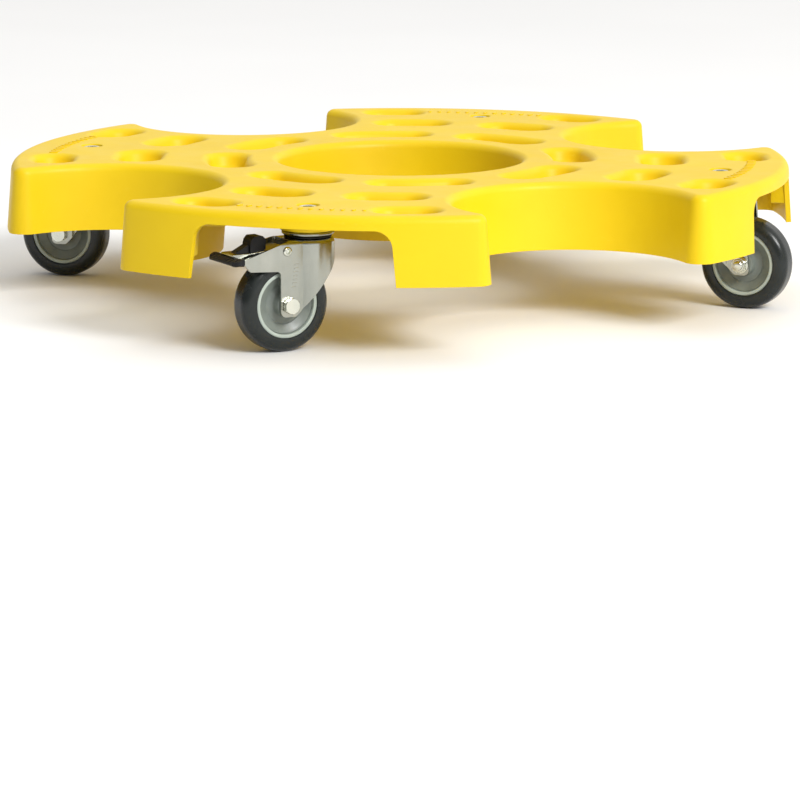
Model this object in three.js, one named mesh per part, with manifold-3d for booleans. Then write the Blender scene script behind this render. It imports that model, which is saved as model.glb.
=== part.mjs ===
// Drum dolly: a moulded deck with four swivel casters, two of them with foot brakes.
// Millimetres, +Z up. The origin is on the floor under the middle of the deck.
// The front arm points along -Y, the right arm along +X.
import * as THREE from 'three';
import { mergeVertices } from 'three/addons/utils/BufferGeometryUtils.js';
import Module from 'manifold-3d';

const wasm = await Module();
wasm.setup();

// ---------------------------------------------------------------- driving dimensions
const GAP = 0.3;                   // free space between pieces that rest on each other
const PAST = 1;                    // how far a cutter runs past the face it cuts
const WIDER_THAN_ALL = 1000;       // wider than the whole dolly

const DECK_TOP = 120;              // height of the drum seat over the floor
const DECK_PLATE = 5;              // thickness of the deck's top plate
const SKIRT_BOTTOM = 62;           // height of the skirt's lower edge
const SKIRT_WALL = 5;              // thickness of the skirt
const SKIRT_DRAFT = 4.2;           // how far the skirt spreads from its top to its bottom
const EDGE_ROUND = 5;              // radius of the rounded top edge
const RIM_RADIUS = 345;            // outer wall of an arm, at its top
const NOTCH_RADIUS = 103;          // wall of a round notch between two arms, at its top
const NOTCH_DISTANCE = 294;        // from the deck's centre to a notch's centre
const CORNER_RADIUS = 10;          // upright corners of an arm
const HOLE_RADIUS = 108;           // wall of the round centre hole, at its top

const ARCH_HALF_WIDTH = 85;        // opening in an arm's outer skirt, over the caster
const ARCH_TOP = 108;
const ARCH_CORNER = 15;
const ARCH_RETURN_OUTER = 331;     // the wall beside the opening: where it leaves the skirt
const ARCH_RETURN_DEPTH = 20;
const ARCH_RETURN_BOTTOM = 79;
const ARCH_RETURN_WALL = 4;

const POCKET_DEPTH = 14;
const POCKET_WALL = 4;
const POCKETS = [                  // one arm's pockets: where they lie and how big they are
  { radius: 154, angle: 21.5, halfLength: 47, halfWidth: 20 },
  { radius: 233, angle: 12.4, halfLength: 37, halfWidth: 22 },
  { radius: 308, angle: 16.3, halfLength: 30, halfWidth: 20 },
];

const CASTER_CIRCLE = 290;         // from the deck's centre to a swivel axis
const CASTER_TOP = 100;            // height of the face that a caster is bolted to
const BOSS_RADIUS = 26;
const RECESS_RADIUS = 9.5;         // round recess for the mounting bolt's head
const RECESS_DEPTH = 6;

const BOLT_RADIUS = 5;             // mounting bolt
const BOLT_HEAD_RADIUS = 8;
const BOLT_HEAD_HEIGHT = 4.7;
const BOLT_CHAMFER = 1;
const BOLT_SOCKET_RADIUS = 4.2;
const BOLT_SOCKET_DEPTH = 3.2;
const HEAD_RADIUS = 22;            // fixed upper race of the swivel
const HEAD_HEIGHT = 3.4;
const SEAL_INNER = 16;
const SEAL_OUTER = 20;
const BALL_INNER = 10.5;
const RACE_HEIGHT = 1.9;           // height of the ball ring and of the dust seal
const KINGPIN_RADIUS = 8;
const KINGPIN_BORE = 5.6;
const KINGPIN_CLEARANCE = 0.6;     // free space around it in the fork's top
const KINGPIN_FLANGE = 12.5;
const KINGPIN_FLANGE_HEIGHT = 2.4;
const NUT_HEIGHT = 6.6;
const NUT_RADIUS = 9;

const FORK_SHEET = 2.5;            // thickness of the pressed steel
const FORK_HALF_WIDTH = 17;        // straight sides beside the wheel
const FORK_NOSE_RADIUS = 22;       // round nose about the swivel axis
const FORK_TOP = 94;
const FORK_NOSE_EDGE = 79;         // lower edge of the nose
const FORK_FOOT = 30.5;            // lowest edge, under the axle
const FORK_FOOT_FRONT = 20;        // front end of that edge
const FORK_FOOT_CHAMFER = 3;
const FORK_FOOT_RADIUS = 5;
const FORK_TAIL = 34.5;            // trailing edge beside the axle
const FORK_TOP_END = 28;           // rear end of the flat top
const BRAKED_TOP_END = 24;

const WHEEL_RADIUS = 40;
const WHEEL_HALF_WIDTH = 12.5;
const TREAD_HALF_WIDTH = 5;        // flat middle of the tread
const SHOULDER_DROP = 1.5;         // how far the tread's shoulder stands below its middle
const SHOULDER_WIDTH = 4;
const SIDEWALL_DROP = 5;
const SIDEWALL_STEP = 0.4;
const TRAIL = 26;                  // from the swivel axis to the axle
const TYRE_INNER = 28.3;
const RIM_OUTER = 28;
const RIM_LIP = 2.5;               // width of the flat ring at the rim
const RIM_STEP = 0.8;              // how far that ring stands inside the tyre's side
const WEB_RADIUS = 11.5;           // where the wheel's web is thinnest
const WEB_HALF_WIDTH = 4;
const HUB_RADIUS = 10;
const HUB_HALF_WIDTH = 13.4;
const SLEEVE_RADIUS = 6;
const SLEEVE_BORE = 4.5;
const SLEEVE_HALF_WIDTH = 14.2;
const AXLE_RADIUS = 4;
const AXLE_HEAD_RADIUS = 7.2;
const AXLE_HEAD_HEIGHT = 4.5;
const AXLE_NUT_HEIGHT = 5.5;
const AXLE_STUB = 2.5;             // thread showing beyond the axle nut

const at = (x, y) => new THREE.Vector2(x, y);
const MIDDLE = at(0, 0);
const AXLE = at(TRAIL, WHEEL_RADIUS);
const BRAKE_PIVOT = at(28.4, 85.5);                  // along the trail, height
const FORK_ARM = [                                   // a braked fork's arm, from its root to its top
  at(FORK_TAIL, 67),
  at(38, 71),
  at(62.8, 70.8),
  at(70.3, 80),
  at(37, 90.4),
];
const LEVER_PLATE = [                                // the lever's rear part
  at(58, 79.5),
  at(71.5, 80.6),
  at(71.5, 82.8),
  at(44, 86.8),
];
const PEDAL_STEM = [
  at(43.5, 87.2),
  at(71.8, 83.1),
  at(73.5, 81.5),
  at(75, 83),
  at(57.5, 92),
  at(56.5, 95.5),
  at(54, 98.4),
  at(46, 98.4),
  at(43, 95.5),
];
const PEDAL_BAR = [
  at(72, 78.6),
  at(80, 77.4),
  at(81.8, 78.6),
  at(81.4, 80.6),
  at(74.5, 83.2),
  at(72, 83),
];
const SHOE_CLEARANCE = 3.2;        // between the brake's shoe and the tyre
const SHOE_ANGLES = [70, 48];      // where the shoe starts and ends around the axle, in degrees
const EYE_ANGLES = [70, 290];
const BRAKE_PIN_RADIUS = 2.5;
const BRAKE_PIN_HEAD_RADIUS = 4;
const BRAKE_PIN_HEAD_HEIGHT = 1.5;
const BRAKE_EYE_RADIUS = 4.2;
const BRAKE_LEVER_HALF_WIDTH = 11;
const PEDAL_HALF_WIDTH = 25;
const PEDAL_STEM_HALF_WIDTH = 7;

const RIM_STEPS = 8;               // flat faces along each arc of the deck's outline
const NOTCH_STEPS = 12;
const CORNER_STEPS = 3;
const SHORT_STEPS = 2;
const HOLE_STEPS = 28;
const WHEEL_STEPS = 24;
const RING_STEPS = 16;
const PIN_STEPS = 12;
const NOSE_STEPS = 10;
const EYE_STEPS = 8;

const CASTERS = [                  // where each caster is, which way it trails, and its brake
  { name: 'front', arm: 270, trail: 225, braked: true },
  { name: 'right', arm: 0, trail: 350, braked: false },
  { name: 'rear', arm: 90, trail: 45, braked: true },
  { name: 'left', arm: 180, trail: 179, braked: false },
];

// ---------------------------------------------------------------- materials
const finish = (color, roughness, metalness) =>
  () => new THREE.MeshStandardMaterial({ color, roughness, metalness });

const yellowPlastic = finish(0xf6cf1e, 0.42, 0);
const zincSteel = finish(0xc9c7bd, 0.3, 0.9);
const blackPlastic = finish(0x17181a, 0.55, 0);
const greyRubber = finish(0x3c4146, 0.38, 0);
const greyCore = finish(0x8a938c, 0.5, 0);

// ---------------------------------------------------------------- helpers
const radians = THREE.MathUtils.degToRad;

// Turns a closed three.js geometry into a solid for cutting and joining.
function solid(geometry) {
  const bare = geometry.clone();
  bare.deleteAttribute('normal');
  bare.deleteAttribute('uv');
  const merged = mergeVertices(bare, 1e-4);
  return new wasm.Manifold(new wasm.Mesh({
    numProp: 3,
    vertProperties: new Float32Array(merged.attributes.position.array),
    triVerts: new Uint32Array(merged.index.array),
  }));
}

// Turns a solid back into a three.js geometry.
function geometryOf(body) {
  const mesh = body.getMesh();
  const geometry = new THREE.BufferGeometry();
  geometry.setAttribute('position', new THREE.BufferAttribute(new Float32Array(mesh.vertProperties), 3));
  geometry.setIndex(new THREE.BufferAttribute(new Uint32Array(mesh.triVerts), 1));
  geometry.computeVertexNormals();
  return geometry;
}

function unite(bodies) {
  return bodies.reduce((whole, body) => whole.add(body));
}

function polar(radius, angle) {
  return at(radius * Math.cos(angle), radius * Math.sin(angle));
}

// The same direction as `angle`, given as the next value above `start`.
function after(start, angle) {
  return angle > start ? angle : angle + 2 * Math.PI;
}

// Points along an arc, from one angle to another in radians, both ends included.
function arc(centre, radius, from, to, steps) {
  return Array.from({ length: steps + 1 }, (_, i) => {
    const angle = from + ((to - from) * i) / steps;
    return polar(radius, angle).add(centre);
  });
}

function circle(centre, radius, steps) {
  return arc(centre, radius, 0, 2 * Math.PI, steps).slice(0, -1);
}

// An upright prism from one height to another.
function prism(points, bottom, top) {
  const depth = top - bottom;
  const geometry = new THREE.ExtrudeGeometry(new THREE.Shape(points), { depth, bevelEnabled: false });
  return geometry.translate(0, 0, bottom);
}

// A slab cut to an outline seen from the side: x runs along the trail and y is height.
function sidePrism(points, halfWidth) {
  const depth = 2 * halfWidth;
  const geometry = new THREE.ExtrudeGeometry(new THREE.Shape(points), { depth, bevelEnabled: false });
  return geometry.rotateX(Math.PI / 2).translate(0, halfWidth, 0);
}

// A ring about Z from a closed profile of [radius, height] corners.
function ring(corners, steps) {
  const profile = [...corners, corners[0]].map(([radius, height]) => at(radius, height));
  return new THREE.LatheGeometry(profile, steps).rotateX(Math.PI / 2);
}

// The same ring about the local Y axis, at the axle's place.
function axleRing(corners, steps) {
  const profile = [...corners, corners[0]].map(([radius, side]) => at(radius, side));
  return new THREE.LatheGeometry(profile, steps).rotateY(Math.PI / steps).translate(TRAIL, 0, WHEEL_RADIUS);
}

function plainRing(inner, outer, bottom, top, steps) {
  return ring([[inner, bottom], [outer, bottom], [outer, top], [inner, top]], steps);
}

function post(centre, radius, bottom, top, steps) {
  return prism(circle(centre, radius, steps), bottom, top);
}

// ---------------------------------------------------------------- deck
// The edge of the flat top: four arms with round notches between them. Walls grow outwards from it.
function deckOutline() {
  const rim = RIM_RADIUS - EDGE_ROUND;
  const notch = NOTCH_RADIUS + EDGE_ROUND;
  const corner = CORNER_RADIUS - EDGE_ROUND;
  const reach = rim - corner;
  const fromNotch = Math.acos(
    (reach ** 2 + NOTCH_DISTANCE ** 2 - (notch + corner) ** 2) / (2 * reach * NOTCH_DISTANCE),
  );
  const points = [];
  for (let quarter = 0; quarter < 4; quarter += 1) {
    const arm = (quarter * Math.PI) / 2;
    const diagonal = arm + Math.PI / 4;
    const armEdge = Math.PI / 4 - fromNotch;
    const notchCentre = polar(NOTCH_DISTANCE, diagonal);
    const entry = polar(reach, arm + armEdge);
    const leave = polar(reach, diagonal + fromNotch);
    const entryTurn = notchCentre.clone().sub(entry).angle();
    const leaveTurn = notchCentre.clone().sub(leave).angle();
    const notchStart = entryTurn - Math.PI;
    let notchEnd = leaveTurn + Math.PI;
    while (notchEnd > notchStart) notchEnd -= 2 * Math.PI;
    points.push(
      ...arc(MIDDLE, rim, arm - armEdge, arm + armEdge, RIM_STEPS).slice(1),
      ...arc(entry, corner, arm + armEdge, after(arm, entryTurn), CORNER_STEPS).slice(1),
      ...arc(notchCentre, notch, notchStart, notchEnd, NOTCH_STEPS).slice(1),
      ...arc(leave, corner, leaveTurn, after(leaveTurn, diagonal + fromNotch), CORNER_STEPS).slice(1),
    );
  }
  return points;
}

function deckShape() {
  const shape = new THREE.Shape(deckOutline());
  const hole = circle(MIDDLE, HOLE_RADIUS + EDGE_ROUND, HOLE_STEPS);
  shape.holes.push(new THREE.Path(hole.reverse()));
  return shape;
}

// A body whose walls stand `grow` outside the shape at the top and `spread` further out at the bottom.
function spreadingBody(shape, bottom, top, grow, spread, steps) {
  const geometry = new THREE.ExtrudeGeometry(shape, {
    depth: PAST,
    bevelEnabled: true,
    bevelThickness: top - bottom,
    bevelSize: spread,
    bevelOffset: grow,
    bevelSegments: steps,
  });
  geometry.translate(0, 0, bottom - PAST);
  const height = top - bottom + PAST;
  const keep = new THREE.BoxGeometry(WIDER_THAN_ALL, WIDER_THAN_ALL, height);
  keep.translate(0, 0, bottom + height / 2);
  return solid(geometry).intersect(solid(keep));
}

// A rounded slot that follows a circle around the deck's centre.
function pocketOutline({ radius, angle, halfLength, halfWidth }, direction, grow) {
  const width = halfWidth + grow;
  const middle = radians(direction + angle);
  const half = (halfLength - halfWidth) / radius;
  const from = middle - half;
  const to = middle + half;
  return [
    ...arc(MIDDLE, radius + width, from, to, SHORT_STEPS),
    ...arc(polar(radius, to), width, to, to + Math.PI, CORNER_STEPS).slice(1, -1),
    ...arc(MIDDLE, radius - width, to, from, SHORT_STEPS),
    ...arc(polar(radius, from), width, from + Math.PI, from + 2 * Math.PI, CORNER_STEPS).slice(1, -1),
  ];
}

function armPockets() {
  return CASTERS.flatMap(({ arm }) => POCKETS.flatMap((pocket) => [
    { pocket, arm },
    { pocket: { ...pocket, angle: -pocket.angle }, arm },
  ]));
}

// The opening in an arm's outer skirt, cut along +X.
function archCutter() {
  const inside = ARCH_HALF_WIDTH - ARCH_CORNER;
  const height = ARCH_TOP - ARCH_CORNER;
  const points = [
    at(-ARCH_HALF_WIDTH, SKIRT_BOTTOM - PAST),
    at(ARCH_HALF_WIDTH, SKIRT_BOTTOM - PAST),
    ...arc(at(inside, height), ARCH_CORNER, 0, Math.PI / 2, CORNER_STEPS),
    ...arc(at(-inside, height), ARCH_CORNER, Math.PI / 2, Math.PI, CORNER_STEPS),
  ];
  const depth = 2 * ARCH_RETURN_DEPTH;
  const geometry = new THREE.ExtrudeGeometry(new THREE.Shape(points), { depth, bevelEnabled: false });
  geometry.rotateX(Math.PI / 2).rotateZ(Math.PI / 2);
  return geometry.translate(RIM_RADIUS - ARCH_RETURN_DEPTH, 0, 0);
}

// The wall that turns in beside the opening, on one side of +X.
function archReturn(side) {
  const height = DECK_TOP - DECK_PLATE / 2 - ARCH_RETURN_BOTTOM;
  return new THREE.BoxGeometry(ARCH_RETURN_DEPTH, ARCH_RETURN_WALL, height).translate(
    ARCH_RETURN_OUTER - ARCH_RETURN_DEPTH / 2,
    side * (ARCH_HALF_WIDTH + ARCH_RETURN_WALL / 2),
    ARCH_RETURN_BOTTOM + height / 2,
  );
}

function deckGeometry() {
  const shape = deckShape();
  const wallTop = DECK_TOP - EDGE_ROUND;
  const plateBottom = DECK_TOP - DECK_PLATE;
  const skirt = spreadingBody(shape, SKIRT_BOTTOM, wallTop, EDGE_ROUND, SKIRT_DRAFT, 1);
  const lid = spreadingBody(shape, wallTop, DECK_TOP, 0, EDGE_ROUND, SHORT_STEPS);
  const inset = EDGE_ROUND - SKIRT_WALL;
  const inside = spreadingBody(shape, SKIRT_BOTTOM - PAST, plateBottom, inset, SKIRT_DRAFT, 1);

  const stays = [];
  const cuts = [];
  for (const { pocket, arm } of armPockets()) {
    const floor = DECK_TOP - POCKET_DEPTH;
    stays.push(solid(prism(pocketOutline(pocket, arm, POCKET_WALL), floor - POCKET_WALL, DECK_TOP - PAST)));
    cuts.push(solid(prism(pocketOutline(pocket, arm, 0), floor, DECK_TOP + PAST)));
  }
  for (const { arm } of CASTERS) {
    const axis = polar(CASTER_CIRCLE, radians(arm));
    stays.push(solid(post(axis, BOSS_RADIUS, CASTER_TOP, DECK_TOP - PAST, RING_STEPS)));
    cuts.push(solid(post(axis, RECESS_RADIUS, DECK_TOP - RECESS_DEPTH, DECK_TOP + PAST, RING_STEPS)));
    cuts.push(solid(post(axis, KINGPIN_BORE, CASTER_TOP - PAST, DECK_TOP, PIN_STEPS)));
    cuts.push(solid(archCutter().rotateZ(radians(arm))));
    for (const side of [-1, 1]) {
      stays.push(solid(archReturn(side).rotateZ(radians(arm))));
    }
  }
  const hollow = inside.subtract(unite(stays));
  return geometryOf(lid.add(skirt).subtract(hollow).subtract(unite(cuts)));
}

// ---------------------------------------------------------------- swivel head, all about the swivel axis
const headBottom = CASTER_TOP - GAP - HEAD_HEIGHT;
const raceBottom = FORK_TOP + GAP;
const flangeTop = FORK_TOP - FORK_SHEET - GAP;
const flangeBottom = flangeTop - KINGPIN_FLANGE_HEIGHT;
const nutBottom = flangeBottom - GAP - NUT_HEIGHT;

function mountingBoltGeometry() {
  const headSeat = DECK_TOP - RECESS_DEPTH + GAP;
  const head = headSeat + BOLT_HEAD_HEIGHT;
  const profile = [
    [0, nutBottom],
    [BOLT_RADIUS, nutBottom],
    [BOLT_RADIUS, headSeat],
    [BOLT_HEAD_RADIUS, headSeat],
    [BOLT_HEAD_RADIUS, head - BOLT_CHAMFER],
    [BOLT_HEAD_RADIUS - BOLT_CHAMFER, head],
    [0, head],
  ].map(([radius, height]) => at(radius, height));
  const bolt = new THREE.LatheGeometry(profile, PIN_STEPS).rotateX(Math.PI / 2);
  const socket = post(MIDDLE, BOLT_SOCKET_RADIUS, head - BOLT_SOCKET_DEPTH, head + PAST, 6);
  return geometryOf(solid(bolt).subtract(solid(socket)));
}

function lockNutGeometry() {
  const nutTop = nutBottom + NUT_HEIGHT;
  const hexagon = post(MIDDLE, NUT_RADIUS, nutBottom, nutTop, 6);
  const bore = post(MIDDLE, BOLT_RADIUS + GAP, nutBottom - PAST, nutTop + PAST, PIN_STEPS);
  return geometryOf(solid(hexagon).subtract(solid(bore)));
}

function kingpinGeometry() {
  return ring([
    [KINGPIN_BORE, flangeBottom],
    [KINGPIN_FLANGE, flangeBottom],
    [KINGPIN_FLANGE, flangeTop],
    [KINGPIN_RADIUS, flangeTop],
    [KINGPIN_RADIUS, headBottom - GAP],
    [KINGPIN_BORE, headBottom - GAP],
  ], PIN_STEPS);
}

// ---------------------------------------------------------------- fork
// The side of a fork: x along the trail, y up. A braked fork carries arms back over the wheel.
function forkSide(braked) {
  const foot = at(FORK_TAIL - FORK_FOOT_RADIUS, FORK_FOOT + FORK_FOOT_RADIUS);
  const tail = braked ? [...FORK_ARM, at(BRAKED_TOP_END, FORK_TOP)] : [at(FORK_TOP_END, FORK_TOP)];
  return [
    at(-FORK_NOSE_RADIUS - PAST, FORK_TOP),
    at(-FORK_NOSE_RADIUS - PAST, FORK_NOSE_EDGE),
    at(FORK_FOOT_FRONT - FORK_FOOT_CHAMFER, FORK_FOOT + FORK_FOOT_CHAMFER),
    at(FORK_FOOT_FRONT, FORK_FOOT),
    ...arc(foot, FORK_FOOT_RADIUS, -Math.PI / 2, 0, SHORT_STEPS),
    ...tail,
  ];
}

// The fork seen from above: straight sides and a wider round nose, `inset` inside its outer face.
function forkPlan(inset) {
  const halfWidth = FORK_HALF_WIDTH - inset;
  const nose = FORK_NOSE_RADIUS - inset;
  const meet = Math.asin(halfWidth / nose);
  return [
    at(WIDER_THAN_ALL, -halfWidth),
    at(WIDER_THAN_ALL, halfWidth),
    ...arc(MIDDLE, nose, meet, 2 * Math.PI - meet, NOSE_STEPS),
  ];
}

function forkGeometry(braked) {
  const across = FORK_NOSE_RADIUS + PAST;
  const underTop = FORK_TOP - FORK_SHEET;
  const side = solid(sidePrism(forkSide(braked), across));
  const outer = solid(prism(forkPlan(0), 0, FORK_TOP + PAST));
  const cuts = [
    solid(prism(forkPlan(FORK_SHEET), -PAST, underTop)),
    solid(post(MIDDLE, KINGPIN_RADIUS + KINGPIN_CLEARANCE, underTop - PAST, FORK_TOP + PAST, RING_STEPS)),
    solid(sidePrism(circle(AXLE, AXLE_RADIUS + GAP, PIN_STEPS), across)),
  ];
  if (braked) {
    const slotHalfWidth = FORK_HALF_WIDTH - FORK_SHEET;
    const slot = new THREE.BoxGeometry(WIDER_THAN_ALL, 2 * slotHalfWidth, WHEEL_RADIUS);
    slot.translate(BRAKED_TOP_END + WIDER_THAN_ALL / 2, 0, FORK_TOP);
    cuts.push(solid(slot));
    cuts.push(solid(sidePrism(circle(BRAKE_PIVOT, BRAKE_PIN_RADIUS + GAP, PIN_STEPS), across)));
  }
  return geometryOf(outer.intersect(side).subtract(unite(cuts)));
}

// ---------------------------------------------------------------- wheel, about the axle
function tyreGeometry() {
  const tread = WHEEL_RADIUS / Math.cos(Math.PI / WHEEL_STEPS);   // flat faces touch the wheel's circle
  const side = WHEEL_HALF_WIDTH;
  const shoulder = TREAD_HALF_WIDTH + SHOULDER_WIDTH;
  return axleRing([
    [TYRE_INNER, -side],
    [tread - SIDEWALL_DROP, SIDEWALL_STEP - side],
    [tread - SHOULDER_DROP, -shoulder],
    [tread, -TREAD_HALF_WIDTH],
    [tread, TREAD_HALF_WIDTH],
    [tread - SHOULDER_DROP, shoulder],
    [tread - SIDEWALL_DROP, side - SIDEWALL_STEP],
    [TYRE_INNER, side],
  ], WHEEL_STEPS);
}

function wheelCoreGeometry() {
  const rim = WHEEL_HALF_WIDTH - RIM_STEP;
  return axleRing([
    [SLEEVE_RADIUS + GAP, -HUB_HALF_WIDTH],
    [HUB_RADIUS, -HUB_HALF_WIDTH],
    [WEB_RADIUS, -WEB_HALF_WIDTH],
    [RIM_OUTER - RIM_LIP, -rim],
    [RIM_OUTER, -rim],
    [RIM_OUTER, rim],
    [RIM_OUTER - RIM_LIP, rim],
    [WEB_RADIUS, WEB_HALF_WIDTH],
    [HUB_RADIUS, HUB_HALF_WIDTH],
    [SLEEVE_RADIUS + GAP, HUB_HALF_WIDTH],
  ], WHEEL_STEPS);
}

function sleeveGeometry() {
  return axleRing([
    [SLEEVE_BORE, -SLEEVE_HALF_WIDTH],
    [SLEEVE_RADIUS, -SLEEVE_HALF_WIDTH],
    [SLEEVE_RADIUS, SLEEVE_HALF_WIDTH],
    [SLEEVE_BORE, SLEEVE_HALF_WIDTH],
  ], PIN_STEPS);
}

function axleBoltGeometry() {
  const seat = FORK_HALF_WIDTH + GAP;
  const inHead = seat + AXLE_HEAD_HEIGHT / 2;
  const end = seat + AXLE_NUT_HEIGHT + AXLE_STUB;
  const shank = sidePrism(circle(AXLE, AXLE_RADIUS, PIN_STEPS), (end + inHead) / 2);
  shank.translate(0, (inHead - end) / 2, 0);
  const head = sidePrism(circle(AXLE, AXLE_HEAD_RADIUS, 6), AXLE_HEAD_HEIGHT / 2);
  head.translate(0, seat + AXLE_HEAD_HEIGHT / 2, 0);
  return geometryOf(solid(shank).add(solid(head)));
}

function axleNutGeometry() {
  const hexagon = sidePrism(circle(AXLE, AXLE_HEAD_RADIUS, 6), AXLE_NUT_HEIGHT / 2);
  const bore = sidePrism(circle(AXLE, AXLE_RADIUS + GAP, PIN_STEPS), AXLE_NUT_HEIGHT);
  const seat = FORK_HALF_WIDTH + GAP;
  return geometryOf(solid(hexagon).subtract(solid(bore))).translate(0, -seat - AXLE_NUT_HEIGHT / 2, 0);
}

// ---------------------------------------------------------------- brake
// A steel lever between the fork's arms. Its curved shoe stands over the tyre.
function brakeLeverGeometry() {
  const outline = [
    ...arc(BRAKE_PIVOT, BRAKE_EYE_RADIUS, ...EYE_ANGLES.map(radians), EYE_STEPS),
    ...arc(AXLE, WHEEL_RADIUS + SHOE_CLEARANCE, ...SHOE_ANGLES.map(radians), CORNER_STEPS),
    ...LEVER_PLATE,
  ];
  const bar = solid(sidePrism(outline.reverse(), BRAKE_LEVER_HALF_WIDTH));
  const hole = circle(BRAKE_PIVOT, BRAKE_PIN_RADIUS + GAP, PIN_STEPS);
  const bore = solid(sidePrism(hole, BRAKE_LEVER_HALF_WIDTH + PAST));
  return geometryOf(bar.subtract(bore));
}

// The moulded pedal: a wide bar to step on, and a block on a stem that lets the brake off.
function brakePedalGeometry() {
  const stem = solid(sidePrism(PEDAL_STEM, PEDAL_STEM_HALF_WIDTH));
  const bar = solid(sidePrism(PEDAL_BAR, PEDAL_HALF_WIDTH));
  return geometryOf(stem.add(bar));
}

function brakePinGeometry() {
  const half = BRAKE_PIN_HEAD_HEIGHT / 2;
  const middle = FORK_HALF_WIDTH + GAP + half;
  const shank = sidePrism(circle(BRAKE_PIVOT, BRAKE_PIN_RADIUS, PIN_STEPS), middle);
  const headOutline = circle(BRAKE_PIVOT, BRAKE_PIN_HEAD_RADIUS, PIN_STEPS);
  const heads = [-1, 1].map((side) => sidePrism(headOutline, half).translate(0, side * middle, 0));
  return geometryOf(unite([shank, ...heads].map(solid)));
}

// ---------------------------------------------------------------- assembly
const group = new THREE.Group();

function addMesh(parent, name, geometry, material) {
  const mesh = new THREE.Mesh(geometry, material());
  mesh.name = name;
  parent.add(mesh);
}

function makeCaster({ name, arm, trail, braked }) {
  const caster = new THREE.Group();
  const axis = polar(CASTER_CIRCLE, radians(arm));
  caster.position.set(axis.x, axis.y, 0);
  caster.rotation.z = radians(trail);
  const raceTop = raceBottom + RACE_HEIGHT - GAP;
  addMesh(caster, `${name}_mounting_bolt`, mountingBoltGeometry(), zincSteel);
  addMesh(caster, `${name}_lock_nut`, lockNutGeometry(), zincSteel);
  addMesh(caster, `${name}_swivel_head`,
    plainRing(KINGPIN_BORE, HEAD_RADIUS, headBottom, CASTER_TOP - GAP, RING_STEPS), zincSteel);
  addMesh(caster, `${name}_kingpin`, kingpinGeometry(), zincSteel);
  addMesh(caster, `${name}_ball_ring`,
    plainRing(BALL_INNER, SEAL_INNER - GAP, raceBottom, raceTop, RING_STEPS), zincSteel);
  addMesh(caster, `${name}_dust_seal`,
    plainRing(SEAL_INNER, SEAL_OUTER, raceBottom, raceTop, RING_STEPS), blackPlastic);
  addMesh(caster, `${name}_fork`, forkGeometry(braked), zincSteel);
  addMesh(caster, `${name}_axle_bolt`, axleBoltGeometry(), zincSteel);
  addMesh(caster, `${name}_axle_nut`, axleNutGeometry(), zincSteel);
  addMesh(caster, `${name}_tyre`, tyreGeometry(), greyRubber);
  addMesh(caster, `${name}_wheel_core`, wheelCoreGeometry(), greyCore);
  addMesh(caster, `${name}_bearing_sleeve`, sleeveGeometry(), zincSteel);
  if (braked) {
    addMesh(caster, `${name}_brake_lever`, brakeLeverGeometry(), zincSteel);
    addMesh(caster, `${name}_brake_pedal`, brakePedalGeometry(), blackPlastic);
    addMesh(caster, `${name}_brake_pin`, brakePinGeometry(), zincSteel);
  }
  return caster;
}

addMesh(group, 'deck', deckGeometry(), yellowPlastic);
for (const caster of CASTERS) {
  group.add(makeCaster(caster));
}

export default group;
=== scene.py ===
from math import acos, asin, atan2, cos, inf, pi, radians, sin, sqrt, tan

import bmesh
import bpy
from mathutils import Matrix, Vector
from mathutils.geometry import delaunay_2d_cdt


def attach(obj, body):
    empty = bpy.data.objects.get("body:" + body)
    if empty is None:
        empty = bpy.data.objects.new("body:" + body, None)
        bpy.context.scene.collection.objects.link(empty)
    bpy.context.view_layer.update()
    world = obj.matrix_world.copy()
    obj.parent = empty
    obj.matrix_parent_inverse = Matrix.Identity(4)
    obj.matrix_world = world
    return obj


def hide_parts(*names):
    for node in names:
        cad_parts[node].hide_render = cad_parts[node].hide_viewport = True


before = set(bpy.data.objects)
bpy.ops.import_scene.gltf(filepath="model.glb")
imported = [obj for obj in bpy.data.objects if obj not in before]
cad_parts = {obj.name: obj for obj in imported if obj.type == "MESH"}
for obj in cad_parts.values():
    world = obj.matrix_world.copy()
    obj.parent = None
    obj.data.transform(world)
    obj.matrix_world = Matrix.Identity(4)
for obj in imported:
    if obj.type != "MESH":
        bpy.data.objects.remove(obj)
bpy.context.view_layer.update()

# Shapes are drawn in millimetres and scaled to metres as they are placed.
# The origin is on the floor under the middle of the deck, and the right arm points along X.
MM = 0.001
GAP = 0.3                        # clear space left between neighbouring pieces

# Deck
DECK_TOP = 120.0
SKIRT_BOTTOM = 62.0
SHELL = 4.6                      # thickness of the moulded wall
EDGE_RADIUS = 7.0                # rounded top edge
WALL_TOP = (5.0, 115.0)          # how far out the wall stands from the outline, and at what height
WALL_BOTTOM = (9.2, 62.0)
FLAT_RING = 0.7                  # narrow flat strip that keeps the rounded edges' shading off the flat top
RIM_RADIUS = 340.0
NOTCH_RADIUS = 108.0
NOTCH_DISTANCE = 294.0
CORNER_RADIUS = 5.0
HOLE_RADIUS = 113.0
ARCH_HALF_WIDTH = 85.0
ARCH_TOP = 108.0
ARCH_CORNER = 15.0
ARCH_SPREAD = 3.0                # how much wider each side of the opening is at its foot
ARCH_WALL_RADIUS = 346.0
LINING_SETBACK = 0.3             # how far the arch's lining is kept out of its opening
LINING_START = 2.5               # how far behind the skirt's face the lining starts
LINING_DEPTH = 16.0              # and where it ends
LINING_WALL = 4.0
LINING_ROOF = 8.0
LINING_BOTTOM = 79.0
POCKET_DEPTH = 14.0
POCKETS = (                      # radius, angle from the arm in degrees, half length, half width
    (154.0, 21.5, 47.0, 20.0),
    (233.0, 12.4, 37.0, 22.0),
    (308.0, 16.3, 30.0, 20.0),
)
CASTER_CIRCLE = 290.0
RECESS_RADIUS = 9.5
RECESS_DEPTH = 6.0
BOSS_BOTTOM = 100.0
BOSS_TOP = 116.0                 # inside the wall of the deck
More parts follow.
